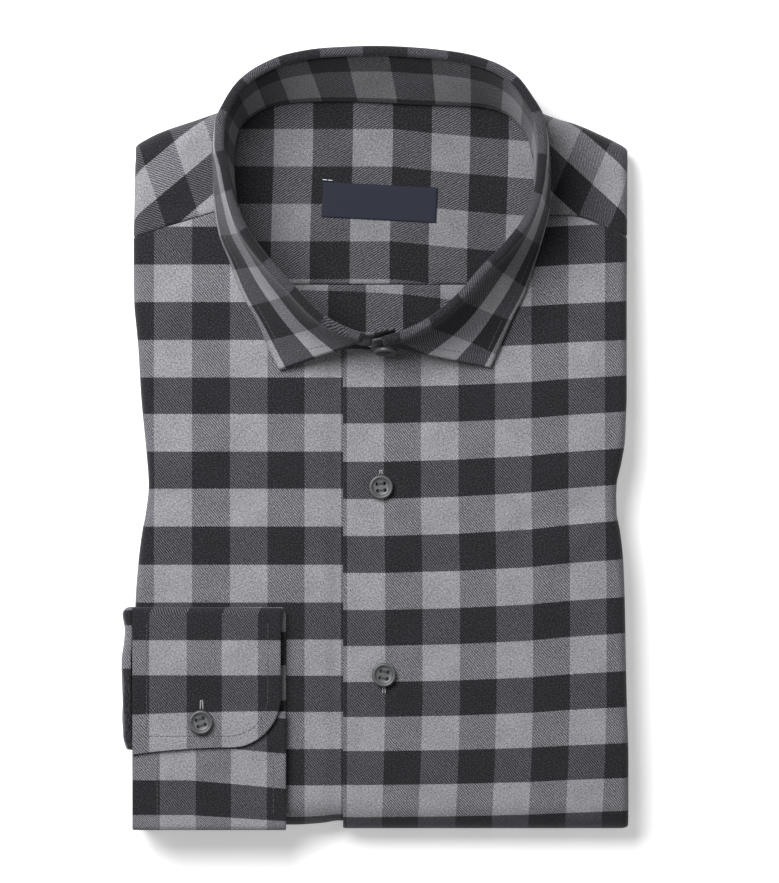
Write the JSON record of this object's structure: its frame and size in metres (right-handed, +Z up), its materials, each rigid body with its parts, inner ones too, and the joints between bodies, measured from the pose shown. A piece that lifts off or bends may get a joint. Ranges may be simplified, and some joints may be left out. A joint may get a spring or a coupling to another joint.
{
  "type": "folded flannel shirt",
  "caption": "Long-sleeved gingham flannel shirt, folded flat with its buttoned collar standing and a cuff laid on the front.",
  "frame": {"origin": "middle of the folded shirt's bounding box, at the surface it rests on", "axes": "+Y from the tail edge to the collar, +Z up out of the front, +X to the right when looking down on the front with the collar away"},
  "size_m": [0.2383, 0.368, 0.0569],
  "materials": {
    "flannel": "brushed cotton twill in charcoal and grey gingham checks of 17.5 mm",
    "label": "dark navy woven label, plain",
    "button": "dark grey four-hole button, satin"
  },
  "bodies": {
    "root": {"front_left": "flannel", "front_right": "flannel", "yoke_outer": "flannel", "yoke_inner": "flannel", "back": "flannel", "collar_leaf": "flannel", "collar_stand": "flannel", "sleeve": "flannel", "cuff": "flannel", "folded_layers": "flannel", "label": "label", "button_front_1": "button", "button_front_2": "button", "button_cuff": "button", "button_collar": "button"}
  },
  "joints": []
}
